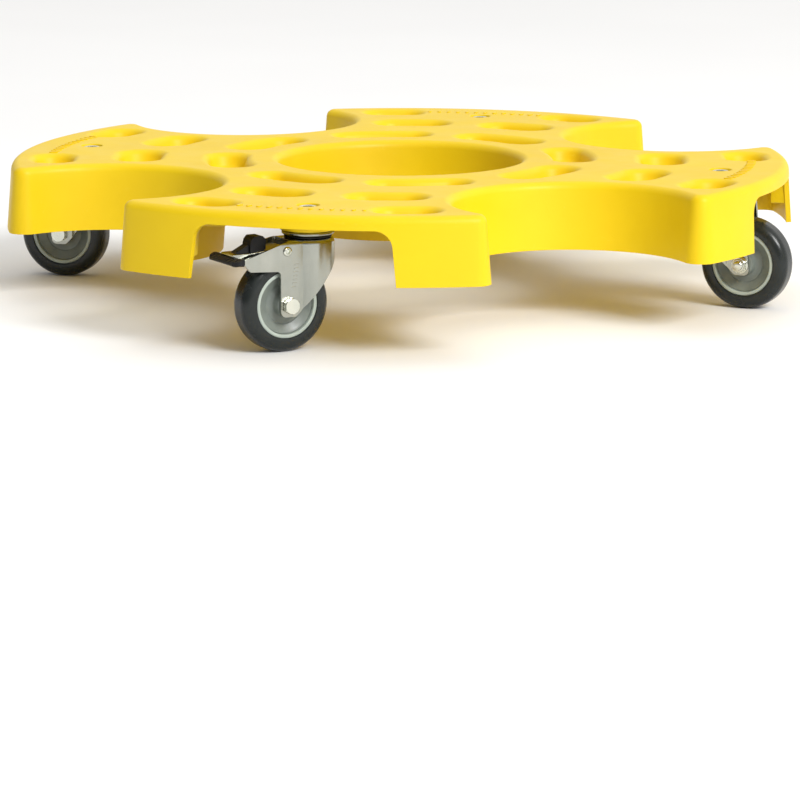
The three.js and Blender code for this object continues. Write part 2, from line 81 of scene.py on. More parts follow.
BOSS_BORE = 5.8
BOSS_RADIUS = 24.0
MARK_RADIUS = 312.0
MARK_PITCH = radians(1.65)
MARK_COUNT = 13
MARK_HALF_LENGTH = 4.0
MARK_HALF_WIDTH = 1.5
MARK_CORNER = 1.2
MARK_RISE = 0.9
MARK_SUNK = 1.0

# Caster, about its own swivel axis with X along the trail
TRAIL = 26.0
AXLE_HEIGHT = 40.0
FORK_TOP = 94.0
FORK_SHEET = 2.5
FORK_BEND = 4.0
FORK_HALF_WIDTH = 17.0
FORK_NOSE = 22.0
FORK_REACH = 90.0                # how far the fork's block runs before its side is cut out
NUT_BOTTOM = 81.9
NUT_HEIGHT = 6.6
HEAD_BOTTOM = 96.3               # underside of the upper race of the swivel
SWIVEL_BORE = 5.6
NUT_CORNER = 9.0                 # corner radius of the lock nut
AXLE_RADIUS = 4.0
AXLE_BORE = 4.3
AXLE_CORNER = 7.2                # corner radius of the axle's hexagons
BRAKE_PIVOT = (28.4, 85.5)
PIN_BORE = 2.8
SEAT = FORK_HALF_WIDTH + GAP     # outer face that the axle's head and nut sit on
TYRE_RADIUS = 40.0
TYRE_HALF_WIDTH = 12.5

BEVEL_SEGMENTS = 3
BEVEL_ANGLE = 35                 # degrees; sharper edges are rounded
SHARP_ANGLE = 40                 # degrees; sharper edges aren't shaded smooth
WEIGHT_LAYER = "bevel_weight_edge"

CASTERS = (                      # name, arm angle and trail angle in degrees, braked
    ("front", 270, 225, True),
    ("right", 0, 350, False),
    ("rear", 90, 45, True),
    ("left", 180, 179, False),
)


# ---------------------------------------------------------------- outlines
def polar(radius, angle):
    return Vector((radius * cos(angle), radius * sin(angle)))


def direction(vector):
    return atan2(vector.y, vector.x)


def sweep(start, end):
    """How far it is from one direction to another, turning counter-clockwise."""
    return (end - start) % (2 * pi)


def arc(centre, radius, start, end, steps, side=1):
    """Points on an arc, each with the direction that faces out of the material."""
    turns = [start + (end - start) * i / steps for i in range(steps + 1)]
    return [(centre + polar(radius, a), polar(side, a)) for a in turns]


def rectangle(x, y, half_length, half_width, radius):
    """The (x, y, radius) corners of a rectangle."""
    low, high = y - half_width, y + half_width
    left, right = x - half_length, x + half_length
    return [(left, low, radius), (right, low, radius), (right, high, radius), (left, high, radius)]


def rounded(corners, steps=5):
    """A closed polygon from (x, y, radius) corners, each rounded by its radius."""
    points = []
    for i, (x, y, radius) in enumerate(corners):
        here = Vector((x, y))
        before = Vector(corners[i - 1][:2]) - here
        after = Vector(corners[(i + 1) % len(corners)][:2]) - here
        half = before.angle(after) / 2
        if radius <= 0 or half > pi / 2 - 0.01:
            points.append(here)
            continue
        reach = min(radius / tan(half), 0.49 * before.length, 0.49 * after.length)
        radius = reach * tan(half)
        before.normalize()
        after.normalize()
        centre = here + (before + after).normalized() * (radius / sin(half))
        first = here + before * reach - centre
        last = here + after * reach - centre
        turn = atan2(first.x * last.y - first.y * last.x, first.dot(last))
        for step in range(steps + 1):
            points.append(centre + Matrix.Rotation(turn * step / steps, 2) @ first)
    return points


def hexagon(corner_radius, limit=inf):
    """Radius by angle of a hexagon, whose corners may be turned down to a limit."""
    flat = corner_radius * cos(pi / 6)

    def radius(angle):
        from_middle = (angle + pi / 6) % (pi / 3) - pi / 6
        return min(flat / cos(from_middle), limit)

    return radius


# ---------------------------------------------------------------- meshes
def finish_mesh(bm, name):
    bmesh.ops.remove_doubles(bm, verts=bm.verts, dist=1e-4)
    bmesh.ops.recalc_face_normals(bm, faces=bm.faces)
    mesh = bpy.data.meshes.new(name)
    bm.to_mesh(mesh)
    bm.free()
    return mesh


def loft(loops, ends="capped"):
    """Joins loops of equally many points. ends is capped, or ring where the last loop meets the first."""
    bm = bmesh.new()
    rows = [[bm.verts.new(p) for p in loop] for loop in loops]
    pairs = list(zip(rows, rows[1:]))
    if ends == "ring":
        pairs.append((rows[-1], rows[0]))
    for a, b in pairs:
        for i in range(len(a)):
            bm.faces.new((a[i - 1], a[i], b[i], b[i - 1]))
    if ends == "capped":
        bm.faces.new(rows[0])
        bm.faces.new(rows[-1])
    return bm


def turned(profile, steps, ring=True, along_y=None):
    """A turned solid. Each profile entry is (radius or radius by angle, height).

    The axis is upright through the origin, or level through the (x, z) of along_y.
    """
    loops = []
    for radius, height in profile:
        loop = []
        for i in range(steps):
            angle = 2 * pi * i / steps
            r = radius(angle) if callable(radius) else radius
            x, y = polar(r, angle)
            if along_y:
                loop.append((along_y[0] + x, height, along_y[1] + y))
            else:
                loop.append((x, y, height))
        loops.append(loop)
    return loft(loops, "ring" if ring else "capped")


def prism_z(points, bottom, top):
    return loft([[(p[0], p[1], z) for p in points] for z in (bottom, top)])


def prism_y(points, low, high):
    return loft([[(p[0], y, p[1]) for p in points] for y in (low, high)])


def merged(*parts):
    """One bmesh that holds several closed bodies."""
    whole = bmesh.new()
    for part in parts:
        mesh = bpy.data.meshes.new("part")
        part.to_mesh(mesh)
        part.free()
        whole.from_mesh(mesh)
        bpy.data.meshes.remove(mesh)
    return whole


def loose(mesh):
    made = bpy.data.objects.new("loose", mesh)
    bpy.context.scene.collection.objects.link(made)
    return made


def carve(mesh, tool, operation):
    """Cuts or joins two closed meshes and gives back the result."""
    target, cutter = loose(mesh), loose(tool)
    modifier = target.modifiers.new("carve", "BOOLEAN")
    modifier.object = cutter
    modifier.operation = operation
    modifier.solver = "EXACT"
    graph = bpy.context.evaluated_depsgraph_get()
    result = bpy.data.meshes.new_from_object(target.evaluated_get(graph))
    bpy.data.objects.remove(target)
    bpy.data.objects.remove(cutter)
    return result


def rolled(mesh, strong, share):
    """Marks which edges a bevel rounds: fully where strong(a, b) holds, by a share on other corners."""
    bm = bmesh.new()
    bm.from_mesh(mesh)
    weight = bm.edges.layers.float.new(WEIGHT_LAYER)
    for edge in bm.edges:
        if len(edge.link_faces) == 2 and edge.calc_face_angle(0) > radians(BEVEL_ANGLE):
            edge[weight] = 1.0 if strong(*(v.co for v in edge.verts)) else share
    bm.to_mesh(mesh)
    bm.free()
    return mesh


def round_edges(made, width, angle=BEVEL_ANGLE):
    """Rounds the corners of a piece, or only the edges that are marked for it."""
    bevel = made.modifiers.new("edges", "BEVEL")
    bevel.width = width * MM
    bevel.segments = BEVEL_SEGMENTS
    bevel.limit_method = "WEIGHT" if WEIGHT_LAYER in made.data.attributes else "ANGLE"
    bevel.angle_limit = radians(angle)
    bevel.harden_normals = True


def piece(name, mesh, place, material, body, node, bevel=0.0, sharp=SHARP_ANGLE):
    """Places a shape drawn in millimetres, gives it its finish and fastens it to its body."""
    mesh = mesh.copy()
    mesh.transform(Matrix.Scale(MM, 4) @ place)
    mesh.shade_smooth()
    mesh.set_sharp_from_angle(angle=radians(sharp))
    made = bpy.data.objects.new(name, mesh)
    bpy.context.scene.collection.objects.link(made)
    mesh.materials.clear()
    mesh.materials.append(material)
    if bevel:
        round_edges(made, bevel)
    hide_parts(node)
    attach(made, body)
    return made


# ---------------------------------------------------------------- deck
def draft(height):
    """How far out the skirt's face stands at a height."""
    share = (WALL_TOP[1] - height) / (WALL_TOP[1] - WALL_BOTTOM[1])
    return WALL_TOP[0] + share * (WALL_BOTTOM[0] - WALL_TOP[0])


def edge_profile(steps=8):
    """The rounded top edge as (out, height), from the flat top to the start of the drafted face."""
    lean = atan2(WALL_BOTTOM[0] - WALL_TOP[0], WALL_TOP[1] - WALL_BOTTOM[1])
    height = DECK_TOP - EDGE_RADIUS
    face = WALL_TOP[0] * cos(lean) + WALL_TOP[1] * sin(lean)
    out = (face - EDGE_RADIUS - height * sin(lean)) / cos(lean)
    turn = [pi / 2 + (lean - pi / 2) * i / steps for i in range(steps + 1)]
    curve = [(out + EDGE_RADIUS * cos(a), height + EDGE_RADIUS * sin(a)) for a in turn]
    return [(out - FLAT_RING, DECK_TOP), *curve]


def arm_columns(arm_edge, leg):
    """The columns of an arm's end as (angle from the arm, arch edge height or None)."""
    leg_steps, bend_steps, crown_steps = 12, 9, 12
    half = []
    for i in range(leg_steps + 1):
        half.append((arm_edge + (leg - arm_edge) * i / leg_steps, None))
    for i in range(1, bend_steps):
        turn = pi / 2 * (1 - i / bend_steps)
        across = ARCH_HALF_WIDTH - ARCH_CORNER * (1 - sin(turn))
        up = ARCH_TOP - ARCH_CORNER * (1 - cos(turn))
        half.append((asin(across / ARCH_WALL_RADIUS), up))
    crown = asin((ARCH_HALF_WIDTH - ARCH_CORNER) / ARCH_WALL_RADIUS)
    for i in range(crown_steps):
        half.append((crown * (1 - i / crown_steps), ARCH_TOP))
    return [(-a, z) for a, z in half] + [(0.0, ARCH_TOP)] + half[::-1]


def deck_outline():
    """The outline of the flat top as (point, outward, arch edge height or None, whether in the arch)."""
    reach = RIM_RADIUS - CORNER_RADIUS
    gap = NOTCH_RADIUS + CORNER_RADIUS
    from_notch = acos((reach**2 + NOTCH_DISTANCE**2 - gap**2) / (2 * reach * NOTCH_DISTANCE))
    arm_edge = pi / 4 - from_notch
    leg = asin(ARCH_HALF_WIDTH / ARCH_WALL_RADIUS)
    points = []
    for quarter in range(4):
        arm = quarter * pi / 2
        for a, edge in arm_columns(arm_edge, leg)[1:]:
            outward = polar(1, arm + a)
            points.append((outward * RIM_RADIUS, outward, edge, abs(a) <= leg + 1e-6))
        start = arm + arm_edge
        end = arm + pi / 2 - arm_edge
        notch = polar(NOTCH_DISTANCE, arm + pi / 4)
        entry = polar(reach, start)
        leave = polar(reach, end)
        to_entry = start + sweep(start, direction(notch - entry))
        to_leave = direction(notch - leave)
        first = to_entry - pi
        last = first - sweep(to_leave + pi, first)
        rest = arc(entry, CORNER_RADIUS, start, to_entry, 8)[1:]
        rest += arc(notch, NOTCH_RADIUS, first, last, 56, side=-1)[1:]
        rest += arc(leave, CORNER_RADIUS, to_leave, to_leave + sweep(to_leave, end), 8)[1:]
        points += [(p, n, None, False) for p, n in rest]
    return points


def skirt(bm):
    """The outer wall with its rounded edge and the four arches. Gives back the loop round the flat top."""
    outline = deck_outline()
    edge = edge_profile()
    shoulder = edge[-1][1]
    split = ARCH_TOP - ARCH_CORNER
    upper_rows, lower_rows = 5, 7
    grid = []
    for point, normal, arch, _ in outline:
        column = [(point + normal * out, z) for out, z in edge]
        low = split if arch is None else arch
        for k in range(1, upper_rows + 1):
            z = shoulder + (low - shoulder) * k / upper_rows
            column.append((point + normal * draft(z), z))
        grid.append([bm.verts.new((p.x, p.y, z)) for p, z in column])
    legs = []
    for i, (point, normal, arch, in_arch) in enumerate(outline):
        if arch is not None:
            legs.append(None)
            continue
        neighbours = (outline[i - 1][2], outline[(i + 1) % len(outline)][2])
        at_leg = in_arch and any(n is not None for n in neighbours)
        side = Vector((-normal.y, normal.x))
        away = -1 if neighbours[1] is not None else 1
        column = [grid[i][-1]]
        for k in range(1, lower_rows + 1):
            share = k / lower_rows
            z = split + (SKIRT_BOTTOM - split) * share
            p = point + normal * draft(z)
            if at_leg:
                p = p + side * (away * ARCH_SPREAD * share)
            column.append(bm.verts.new((p.x, p.y, z)))
        legs.append(column)
    for rows in (grid, legs):
        for i in range(len(rows)):
            a, b = rows[i - 1], rows[i]
            if a is None or b is None:
                continue
            for k in range(len(a) - 1):
                bm.faces.new((a[k], b[k], b[k + 1], a[k + 1]))
    return [column[0] for column in grid]


def rows_of(bm, points, profile):
    """Strips that follow an outline of (point, outward) down a profile of (out, height)."""
    rows = []
    for out, z in profile:
        rows.append([bm.verts.new((*(p + n * out), z)) for p, n in points])
    for a, b in zip(rows, rows[1:]):
        for i in range(len(a)):
            bm.faces.new((a[i - 1], a[i], b[i], b[i - 1]))
    return rows


def encloses(loop, point):
    """Whether a point lies inside a loop of vertices, seen from above."""
    crossings = 0
    for i in range(len(loop)):
        a, b = loop[i - 1].co, loop[i].co
        if (a.y > point.y) != (b.y > point.y):
            crossings += point.x < a.x + (point.y - a.y) / (b.y - a.y) * (b.x - a.x)
    return crossings % 2 == 1


def fill_flat(bm, loops):
    """Fills the level face between an outer loop, the first, and the loops of its openings."""
    rim = [v for loop in loops for v in loop]
    owner = [k for k, loop in enumerate(loops) for _ in loop]
    sides = []
    first = 0
    for loop in loops:
        sides += [(first + i, first + (i + 1) % len(loop)) for i in range(len(loop))]
        first += len(loop)
    _, _, triangles, source, _, _ = delaunay_2d_cdt([v.co.xy for v in rim], sides, [], 0, 1e-5)
    for triangle in triangles:
        corners = [source[i][0] for i in triangle]
        owners = {owner[i] for i in corners}
        if len(owners) == 1:
            k = owners.pop()
            middle = sum((rim[i].co for i in corners), Vector()) / 3
            if encloses(loops[k], middle) != (k == 0):
                continue
        bm.faces.new([rim[i] for i in corners])


def pocket_outline(radius, angle, half_length, half_width):
    """A slot with round ends that follows a circle about the middle of the deck."""
    origin = Vector((0, 0))
    half = (half_length - half_width) / radius
    low, high = angle - half, angle + half
    points = arc(origin, radius + half_width, low, high, 6)
    points += arc(polar(radius, high), half_width, high, high + pi, 18)[1:-1]
    points += arc(origin, radius - half_width, high, low, 6, side=-1)
    points += arc(polar(radius, low), half_width, low + pi, low + 2 * pi, 18)[1:-1]
    return points


def dish_profile(depth, lean, rim_out, rim_radius, floor_radius):
    """A soft-edged recess: rounded rim, leaning wall and rounded floor, as (out, height)."""
    rim_steps, floor_steps = 7, 6
    rim_height = DECK_TOP - rim_radius
    rim = []
    for i in range(rim_steps + 1):
        a = pi / 2 + (pi / 2 - lean) * i / rim_steps
        rim.append((rim_out + rim_radius * cos(a), rim_height + rim_radius * sin(a)))
    floor = DECK_TOP - depth
    base_height = floor + floor_radius
    touch = base_height - floor_radius * sin(lean)
    foot = rim[-1][0] - (rim[-1][1] - touch) * tan(lean)
    centre = foot - floor_radius * cos(lean)
    base = []
    for i in range(floor_steps + 1):
        a = -lean + (lean - pi / 2) * i / floor_steps
        base.append((centre + floor_radius * cos(a), base_height + floor_radius * sin(a)))
    return [(rim_out + FLAT_RING, DECK_TOP), *rim, *base, (centre - FLAT_RING, floor)]


def centre_hole(bm):
    """The wall of the round hole. Gives back the loop round its upper edge."""
    outline = arc(Vector((0, 0)), HOLE_RADIUS, 0, 2 * pi, 144, side=-1)[:-1]
    edge = edge_profile()
    shoulder = edge[-1][1]
    wall_rows = 10
    wall = []
    for k in range(1, wall_rows + 1):
        z = shoulder + (SKIRT_BOTTOM - shoulder) * k / wall_rows
        wall.append((draft(z), z))
    return rows_of(bm, outline, [*edge, *wall])[0]


def recesses(bm):
    """The pockets and the bolt recesses with their floors. Gives back the loops round their edges."""
    dish = dish_profile(POCKET_DEPTH, radians(16), rim_out=3.4, rim_radius=7.5, floor_radius=6.0)
    recess = dish_profile(RECESS_DEPTH, radians(3), rim_out=1.2, rim_radius=1.2, floor_radius=1.0)
    loops = []
    floors = []
    for _, arm, _, _ in CASTERS:
        for radius, angle, half_length, half_width in POCKETS:
            for side in (-1, 1):
                outline = pocket_outline(radius, radians(arm + side * angle), half_length, half_width)
                rows = rows_of(bm, outline, dish)
                loops.append(rows[0])
                floors.append(rows[-1])
        ring = arc(polar(CASTER_CIRCLE, radians(arm)), RECESS_RADIUS, 0, 2 * pi, 40)[:-1]
        rows = rows_of(bm, ring, recess)
        loops.append(rows[0])
        floors.append(rows[-1])
    for floor in floors:
        bm.faces.new(floor)
    return loops


def deck_shell():
    """The outer face of the moulding. The wall's thickness is added after it is placed."""
    bm = bmesh.new()
    fill_flat(bm, [skirt(bm), centre_hole(bm), *recesses(bm)])
    bmesh.ops.recalc_face_normals(bm, faces=bm.faces)
    # The shell is open, so its faces are turned over if the flat top looks down.
    flat = [f for f in bm.faces if abs(f.normal.z) > 0.99 and f.calc_center_median().z > DECK_TOP - 0.1]
    if sum(f.normal.z * f.calc_area() for f in flat) < 0:
        bmesh.ops.reverse_faces(bm, faces=bm.faces)
    mesh = bpy.data.meshes.new("deck_shell")
    bm.to_mesh(mesh)
    bm.free()
    return mesh


def arch_lining(arm):
    """The wall that turns in round an arm's opening."""
    inner = ARCH_HALF_WIDTH - ARCH_CORNER
    split = ARCH_TOP - ARCH_CORNER
    foot = ARCH_HALF_WIDTH + 1
    stations = [(Vector((foot, LINING_BOTTOM)), Vector((1, 0)))]
    stations += arc(Vector((inner, split)), ARCH_CORNER, 0, pi / 2, 10)
    stations += arc(Vector((-inner, split)), ARCH_CORNER, pi / 2, pi, 10)
    stations.append((Vector((-foot, LINING_BOTTOM)), Vector((-1, 0))))
    loops = []
    for p, n in stations:
        near = p + n * LINING_SETBACK
        far = p + Vector((n.x * LINING_WALL, n.y * LINING_ROOF))
        section = ((near, LINING_START), (near, LINING_DEPTH), (far, LINING_DEPTH), (far, LINING_START))
        loop = []
        for q, depth in section:
            along = sqrt(ARCH_WALL_RADIUS**2 - q.x**2) - depth
            loop.append((along, q.x, q.y))
        loops.append(loop)
    bm = loft(loops)
    bmesh.ops.rotate(bm, verts=bm.verts, matrix=Matrix.Rotation(arm, 3, "Z"))
    return bm


def boss(arm):
    """The thick seat under the deck that a caster is bolted to, with its stiffening ribs."""
    eased, flare = 0.8, 4.0
    profile = [
        (BOSS_BORE, BOSS_BOTTOM), (BOSS_RADIUS - eased, BOSS_BOTTOM), (BOSS_RADIUS, BOSS_BOTTOM + eased),
        (BOSS_RADIUS + flare, BOSS_TOP), (BOSS_BORE, BOSS_TOP),
    ]
    parts = [turned(profile, 56)]
    rib_start, rib_half_width = 20, 1.6
    corners = [(rib_start, 102.5, 0), (52, 108.0, 2), (56, BOSS_TOP, 0), (rib_start, BOSS_TOP, 0)]
    for turn in (pi / 4, 3 * pi / 4, 5 * pi / 4, 7 * pi / 4):
        rib = prism_y(rounded(corners), -rib_half_width, rib_half_width)
        bmesh.ops.rotate(rib, verts=rib.verts, matrix=Matrix.Rotation(turn, 3, "Z"))
        parts.append(rib)
    whole = merged(*parts)
    axis = polar(CASTER_CIRCLE, arm)
    bmesh.ops.translate(whole, verts=whole.verts, vec=(axis.x, axis.y, 0))
    return whole


def marks(arm):
    """A plain row of raised ribs along the rim."""
    outline = rounded(rectangle(0, 0, MARK_HALF_LENGTH, MARK_HALF_WIDTH, MARK_CORNER), 4)
    parts = []
    for i in range(MARK_COUNT):
        angle = arm + (i - (MARK_COUNT - 1) / 2) * MARK_PITCH
        rib = prism_z(outline, DECK_TOP - MARK_SUNK, DECK_TOP + MARK_RISE)
        bmesh.ops.rotate(rib, verts=rib.verts, matrix=Matrix.Rotation(angle, 3, "Z"))
        middle = polar(MARK_RADIUS, angle)
        bmesh.ops.translate(rib, verts=rib.verts, vec=(middle.x, middle.y, 0))
        parts.append(rib)
    return merged(*parts)


# ---------------------------------------------------------------- caster
def raised(profile, base):
    """A profile drawn from its own foot, moved up to where it stands."""
    return [(radius, base + height) for radius, height in profile]


def mounting_bolt():
    """A socket-headed bolt, with its head sunk in the deck's recess."""
    shank_radius, head_radius = 5.0, 8.0
    socket = hexagon(4.6)
    head = DECK_TOP - RECESS_DEPTH + GAP
    shank = [(4.3, NUT_BOTTOM), (shank_radius, NUT_BOTTOM + 0.7), (shank_radius, head)]
    cap = [
        (7.7, 0), (head_radius, 0.3), (head_radius, 3.4), (7.8, 4.1), (7.2, 4.6), (6.6, 4.7), (5.1, 4.7),
        (socket, 4.3), (socket, 1.6), (0.4, 1.2),
    ]
    return finish_mesh(turned(shank + raised(cap, head), 60, ring=False), "mounting_bolt")


def lock_nut():
    """A hexagon nut with a round collar under it and corners turned down at both ends."""
    bore, collar = 5.3, 7.2
    body = hexagon(NUT_CORNER)
    eased = hexagon(NUT_CORNER, NUT_CORNER - 0.9)
    profile = [
        (bore, 0), (collar - 0.4, 0), (collar, 0.4), (collar, 1.6), (eased, 1.6), (body, 2.4),
        (body, 5.8), (eased, NUT_HEIGHT), (bore + 0.3, NUT_HEIGHT), (bore, NUT_HEIGHT - 0.3),
    ]
    return finish_mesh(turned(raised(profile, NUT_BOTTOM), 60), "lock_nut")


def swivel_head():
    """The fixed upper race, a disc with a rolled edge just under the boss."""
    top = BOSS_BOTTOM - GAP - HEAD_BOTTOM
    profile = [
        (SWIVEL_BORE, 0), (19.8, 0), (21.2, 0.1), (21.8, 0.6), (22.0, 1.3), (21.9, 2.4),
        (21.4, 3.1), (20.6, top), (SWIVEL_BORE, top),
    ]
    return finish_mesh(turned(raised(profile, HEAD_BOTTOM), 72), "swivel_head")


def kingpin():
    """The hollow rivet that holds the fork to the head, from the nut up to the head."""
    foot = NUT_BOTTOM + NUT_HEIGHT + GAP
    top = HEAD_BOTTOM - GAP - foot
    profile = [
        (SWIVEL_BORE, 0), (11.8, 0), (12.5, 0.6), (12.5, 1.8), (11.9, 2.4), (8.6, 2.4), (8.0, 3.0),
        (8.0, top - 0.6), (7.4, top), (SWIVEL_BORE, top),
    ]
    return finish_mesh(turned(raised(profile, foot), 48), "kingpin")


def ball_ring():
    """The ring that stands in for the swivel's balls, with a groove round its top."""
    inner, outer = 10.5, 15.7
    profile = [
        (inner, 0.4), (11.2, 0), (15.0, 0), (outer, 0.4), (outer, 1.2), (15.0, 1.6), (14.2, 1.6),
        (13.4, 1.1), (12.6, 1.1), (11.8, 1.6), (11.2, 1.6), (inner, 1.2),
    ]
    return finish_mesh(turned(raised(profile, FORK_TOP + GAP), 72), "ball_ring")


def dust_seal():
    """A black ring round the bearing, with a lip and a groove on top."""
    inner = 16.0
    profile = [
        (inner, 0.1), (19.2, 0), (19.8, 0.1), (20.0, 0.5), (19.9, 1.1), (19.4, 1.5), (18.6, 1.6),
        (18.1, 1.3), (17.6, 1.6), (16.4, 1.6), (inner, 1.3),
    ]
    return finish_mesh(turned(raised(profile, FORK_TOP + GAP), 72), "dust_seal")


def fork_plan():
    """The fork from above as (point, outward): straight sides and a wider round nose."""
    origin = Vector((0, 0))
    meet = asin(FORK_HALF_WIDTH / FORK_NOSE)
    start = FORK_NOSE * cos(meet)
    side = [start + (FORK_REACH - start) * i / 6 for i in range(7)]
    points = [(Vector((x, FORK_HALF_WIDTH)), Vector((0, 1))) for x in reversed(side)]
    points += arc(origin, FORK_NOSE, meet, 2 * pi - meet, 60)
    points += [(Vector((x, -FORK_HALF_WIDTH)), Vector((0, -1))) for x in side]
    return points


def fork_block(inset, bend, top):
    """A solid with the fork's plan and a rounded upper edge."""
    steps = 6
    foot = 10.0
    profile = [(-inset, foot)]
    for i in range(steps + 1):
        a = pi / 2 * i / steps
        profile.append((-inset - bend * (1 - cos(a)), top - bend * (1 - sin(a))))
    plan = fork_plan()
    loops = [[(*(p + n * out), z) for p, n in plan] for out, z in profile]
    return finish_mesh(loft(loops), "fork_block")


def fork_side(braked):
    """The fork seen from the side as an outline in (x, z). A braked fork is longer, to carry the lever.

    The outline passes above the block, so that the block's own rounded edge is the fork's upper edge.
    """
    front, foot, back, above = -26, 30.5, 34.5, FORK_TOP + 3
    corners = [(front, above, 0), (front, 83.7, 0), (16.6, 33.9, 3.5), (20.4, foot, 3.5), (back, foot, 5)]
    if braked:
        corners += [
            (back, 69.0, 3.5), (62.8, 70.8, 1.5), (70.7, 80.1, 1.5), (37.0, 90.5, 14), (24.0, 94.2, 0),
            (24.0, above, 0),
        ]
    else:
        corners += [(28.0, FORK_TOP, 0), (28.0, above, 0)]
    return rounded(corners, 8)


def fork(braked):
    """The pressed fork: a hollow block, cut to its side outline and drilled."""
    kingpin_bore, through = 8.6, 40.0
    mesh = fork_block(0.0, FORK_BEND, FORK_TOP)
    side = finish_mesh(prism_y(fork_side(braked), -FORK_NOSE - 8, FORK_NOSE + 8), "side")
    mesh = carve(mesh, side, "INTERSECT")
    mesh = carve(mesh, fork_block(FORK_SHEET, FORK_BEND - FORK_SHEET, FORK_TOP - FORK_SHEET), "DIFFERENCE")
    cuts = [
        turned([(kingpin_bore, 80.0), (kingpin_bore, 100.0)], 40, ring=False),
        about_axle([(AXLE_BORE, -through), (AXLE_BORE, through)], 32, ring=False),
    ]
    if braked:
        pin_hole = [(PIN_BORE, -through), (PIN_BORE, through)]
        cuts.append(turned(pin_hole, 24, ring=False, along_y=BRAKE_PIVOT))
    for cut in cuts:
        mesh = carve(mesh, finish_mesh(cut, "cut"), "DIFFERENCE")
    if braked:
        start, end, width = 24, 110, FORK_HALF_WIDTH - FORK_SHEET
        slot = [(start, -width, 3), (end, -width, 0), (end, width, 0), (start, width, 3)]
        mesh = carve(mesh, finish_mesh(prism_z(rounded(slot), 74, 110), "slot"), "DIFFERENCE")

    def on_upper_edge(a, b):
        by_lever = min(a.x, b.x) > 23
        high = min(a.z, b.z) > 79.5
        outside = min(abs(a.y), abs(b.y)) > FORK_HALF_WIDTH - 0.1
        return by_lever and high and outside

    return rolled(mesh, on_upper_edge, 0.3)


def fork_marks():
    """A row of small plain raised bars down each side of the fork."""
    count, pitch, lean = 7, 3.1, 0.5
    top_x, top_z = 19.5, 74
    rise, sunk = 0.25, 0.5
    bars = []
    for i in range(count):
        outline = rounded(rectangle(top_x + lean * i, top_z - pitch * i, 2, 0.6, 0.3), 2)
        bars.append(prism_y(outline, -FORK_HALF_WIDTH - rise, -FORK_HALF_WIDTH + sunk))
        bars.append(prism_y(outline, FORK_HALF_WIDTH - sunk, FORK_HALF_WIDTH + rise))
    return finish_mesh(merged(*bars), "fork_marks")


def about_axle(profile, steps, ring=True):
    """A solid turned about the axle, with the profile as (radius, how far across the wheel)."""
    return turned(profile, steps, ring, along_y=(TRAIL, AXLE_HEIGHT))


def mirrored(half):
    """A closed profile from its half at positive width."""
    return half + [(r, -w) for r, w in reversed(half)]


def tyre():
    """A tread with nearly elliptical shoulders, from the flat side to the flat middle."""
    depth, width, power, steps = 9.0, 8.5, 0.9, 14
    half = [(28.3, TYRE_HALF_WIDTH - 0.2), (29.0, TYRE_HALF_WIDTH)]
    for i in range(steps + 1):
        turn = pi / 2 * i / steps
        out = TYRE_RADIUS - depth * (1 - sin(turn) ** power)
        half.append((out, TYRE_HALF_WIDTH - width * (1 - cos(turn) ** power)))
    half.append((TYRE_RADIUS, 1.5))
    return finish_mesh(about_axle(mirrored(half), 120), "tyre")


def wheel_core():
    """The hub, the dished web and the inner edge of the rim."""
    half = [
        (6.3, 13.4), (8.9, 13.4), (9.7, 13.1), (10.0, 12.4), (10.3, 6.6), (10.9, 5.9),
        (16.2, 5.0), (16.8, 5.1), (17.2, 5.9), (17.7, 6.1), (22.4, 8.3), (23.4, 8.7),
        (24.3, 9.0), (24.7, 8.6),
    ]
    return finish_mesh(about_axle(mirrored(half), 120), "wheel_core")


def rim_ring():
    """The pale ring between the web and the tyre."""
    half = [(24.9, 8.0), (24.9, 10.9), (25.2, 11.5), (25.8, 11.7), (27.5, 11.7), (28.0, 11.3)]
    return finish_mesh(about_axle(mirrored(half), 120), "rim_ring")


def bearing_sleeve():
    """A plain tube between the hub and the axle, a little wider than the hub."""
    half = [(4.5, 13.9), (4.8, 14.2), (5.7, 14.2), (6.0, 13.9)]
    return finish_mesh(about_axle(mirrored(half), 48), "bearing_sleeve")


def axle_hexagon():
    """The plain and the turned-down outline of the axle's head and nut."""
    return hexagon(AXLE_CORNER), hexagon(AXLE_CORNER, AXLE_CORNER - 0.8)


def axle_bolt():
    """A hexagon-headed bolt through the wheel, with grooves for the thread that shows past its nut."""
    body, eased = axle_hexagon()
    profile = [
        (0.4, SEAT + 4.3), (5.4, SEAT + 4.5), (eased, SEAT + 4.5), (body, SEAT + 3.8),
        (body, SEAT + 0.6), (6.4, SEAT + 0.5), (6.4, SEAT), (AXLE_RADIUS, SEAT),
        (AXLE_RADIUS, -SEAT - 5.6),
    ]
    for i in range(3):
        groove = -SEAT - 5.8 - 0.75 * i
        profile += [(3.55, groove), (AXLE_RADIUS, groove - 0.35)]
    tip = -SEAT - 8.0
    profile += [(3.3, tip), (0.4, tip)]
    return finish_mesh(about_axle(profile, 60, ring=False), "axle_bolt")


def axle_nut():
    """A hexagon lock nut with a washer face and a round collar."""
    body, eased = axle_hexagon()
    profile = [
        (AXLE_BORE, 0), (7.4, 0), (7.6, 0.3), (7.6, 0.9), (7.2, 1.1), (body, 1.3), (body, 3.6),
        (eased, 4.2), (5.9, 4.2), (5.6, 5.3), (5.2, 5.5), (AXLE_BORE, 5.5),
    ]
    outward = [(radius, -SEAT - along) for radius, along in profile]
    return finish_mesh(about_axle(outward, 60), "axle_nut")


